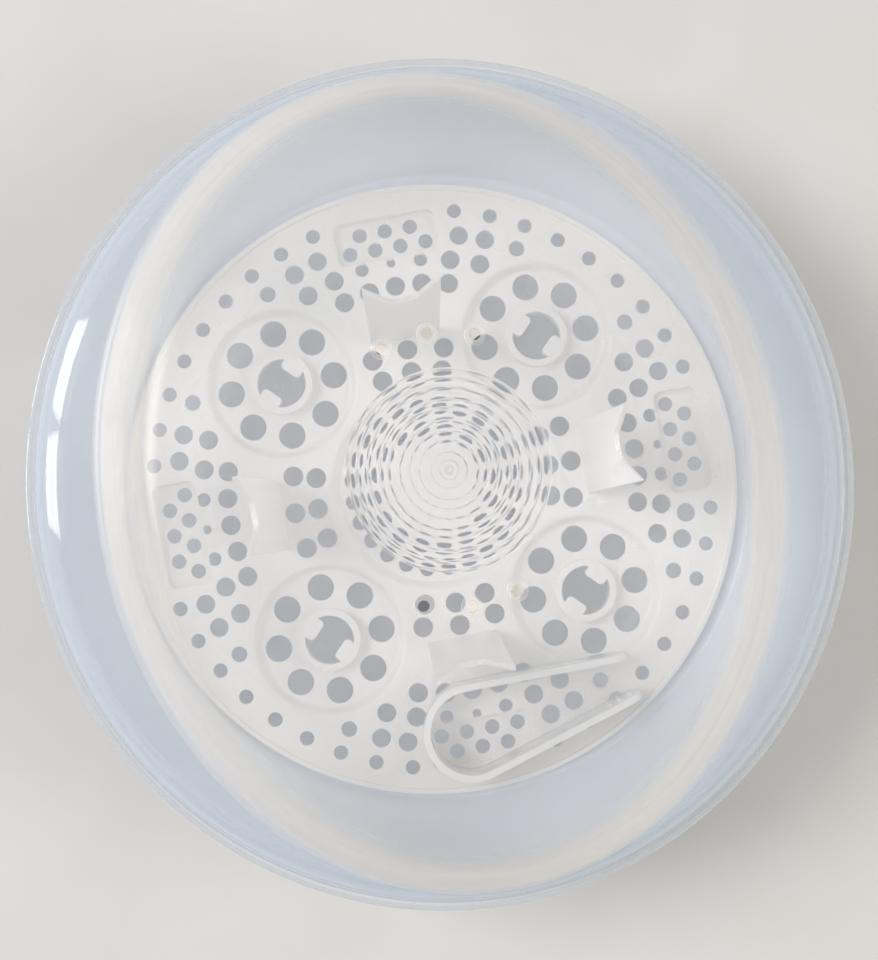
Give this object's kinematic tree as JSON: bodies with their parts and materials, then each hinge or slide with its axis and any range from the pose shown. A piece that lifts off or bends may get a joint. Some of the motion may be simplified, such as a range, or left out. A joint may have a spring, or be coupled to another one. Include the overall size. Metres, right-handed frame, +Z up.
{
  "type": "baby bottle sterilizer",
  "caption": "Round microwave steam sterilizer: a water bowl, a perforated bottle tray with uprights, a domed see-through lid with a rippled lens, and a pair of tongs.",
  "frame": {"origin": "centre of the foot ring, on the surface that the sterilizer stands on", "axes": "+Z up out of the bowl; +Y along the long axis of the lid's oval dome; the tongs lie towards -Y"},
  "size_m": [0.279, 0.2878, 0.1615],
  "materials": {
    "bowl_polypropylene": "satin",
    "tray_polypropylene": "satin",
    "lid_polypropylene": "gloss",
    "tongs_polypropylene": "satin"
  },
  "bodies": {
    "base": {"base_bowl": "bowl_polypropylene"},
    "tray": {"tray": "tray_polypropylene"},
    "lid": {"lid": "lid_polypropylene"},
    "tongs": {"tongs_inner_arm": "tongs_polypropylene"},
    "tongs_free_arm": {"tongs_outer_arm": "tongs_polypropylene"}
  },
  "joints": [
    {"name": "tray_lift", "type": "slide", "parent": "base", "child": "tray", "axis": [0, 0, 1], "range_m": [0, 0.12]},
    {"name": "lid_lift", "type": "slide", "parent": "tray", "child": "lid", "axis": [0, 0, 1], "range_m": [0, 0.16]},
    {"name": "tongs_lift", "type": "slide", "parent": "tray", "child": "tongs", "axis": [0, 0, 1], "range_m": [0, 0.05]},
    {"name": "tongs_squeeze", "type": "hinge", "parent": "tongs", "child": "tongs_free_arm", "pos_m": [-0.02025, -0.09141, 0.0532], "axis": [0, 0, 1], "range_deg": [0, 8], "stiffness_Nm_per_rad": 0.2}
  ]
}
